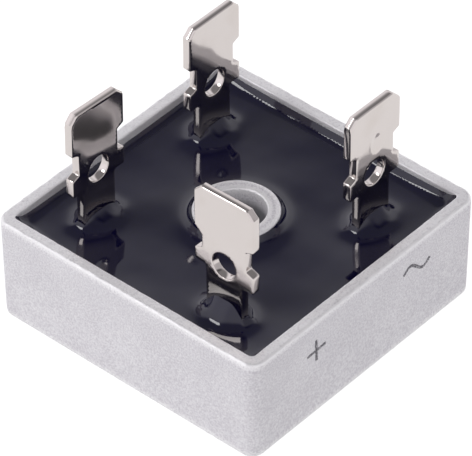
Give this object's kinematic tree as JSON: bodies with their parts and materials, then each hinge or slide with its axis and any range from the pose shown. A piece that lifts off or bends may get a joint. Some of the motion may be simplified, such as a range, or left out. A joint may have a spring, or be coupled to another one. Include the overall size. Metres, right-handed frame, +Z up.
{
  "type": "bridge rectifier",
  "caption": "Square metal-cased bridge rectifier: black potted recess, push-on tabs standing at the corners and a screw hole through the middle.",
  "frame": {"origin": "middle of the flat base, on the axis of the screw hole", "axes": "+Z up along the screw hole, -Y towards the marked side, +X to the right of that side"},
  "size_m": [0.0286, 0.0286, 0.0218],
  "materials": {
    "case_metal": "satin, fine grain",
    "compound": "glossy black casting",
    "tab_metal": "bright nickel plate over brass",
    "copper": "bare copper",
    "silicon": "matt grey",
    "solder": "dull grey",
    "insulator": "matt white"
  },
  "bodies": {
    "root": {"case": "case_metal", "insulator_plate": "insulator", "positive_plate": "copper", "ac_left_plate": "copper", "ac_right_plate": "copper", "ac_left_clip": "copper", "ac_right_clip": "copper", "negative_link": "copper", "clip_joint_left": "solder", "clip_joint_right": "solder", "terminal_ac_left": "tab_metal", "terminal_negative": "tab_metal", "terminal_ac_right": "tab_metal", "terminal_positive": "tab_metal", "foot_joint_ac_left": "solder", "foot_joint_negative": "solder", "foot_joint_ac_right": "solder", "foot_joint_positive": "solder", "potting_compound": "compound", "solder_lower_1": "solder", "diode_die_1": "silicon", "solder_upper_1": "solder", "solder_lower_2": "solder", "diode_die_2": "silicon", "solder_upper_2": "solder", "solder_lower_3": "solder", "diode_die_3": "silicon", "solder_upper_3": "solder", "solder_lower_4": "solder", "diode_die_4": "silicon", "solder_upper_4": "solder"}
  },
  "joints": []
}
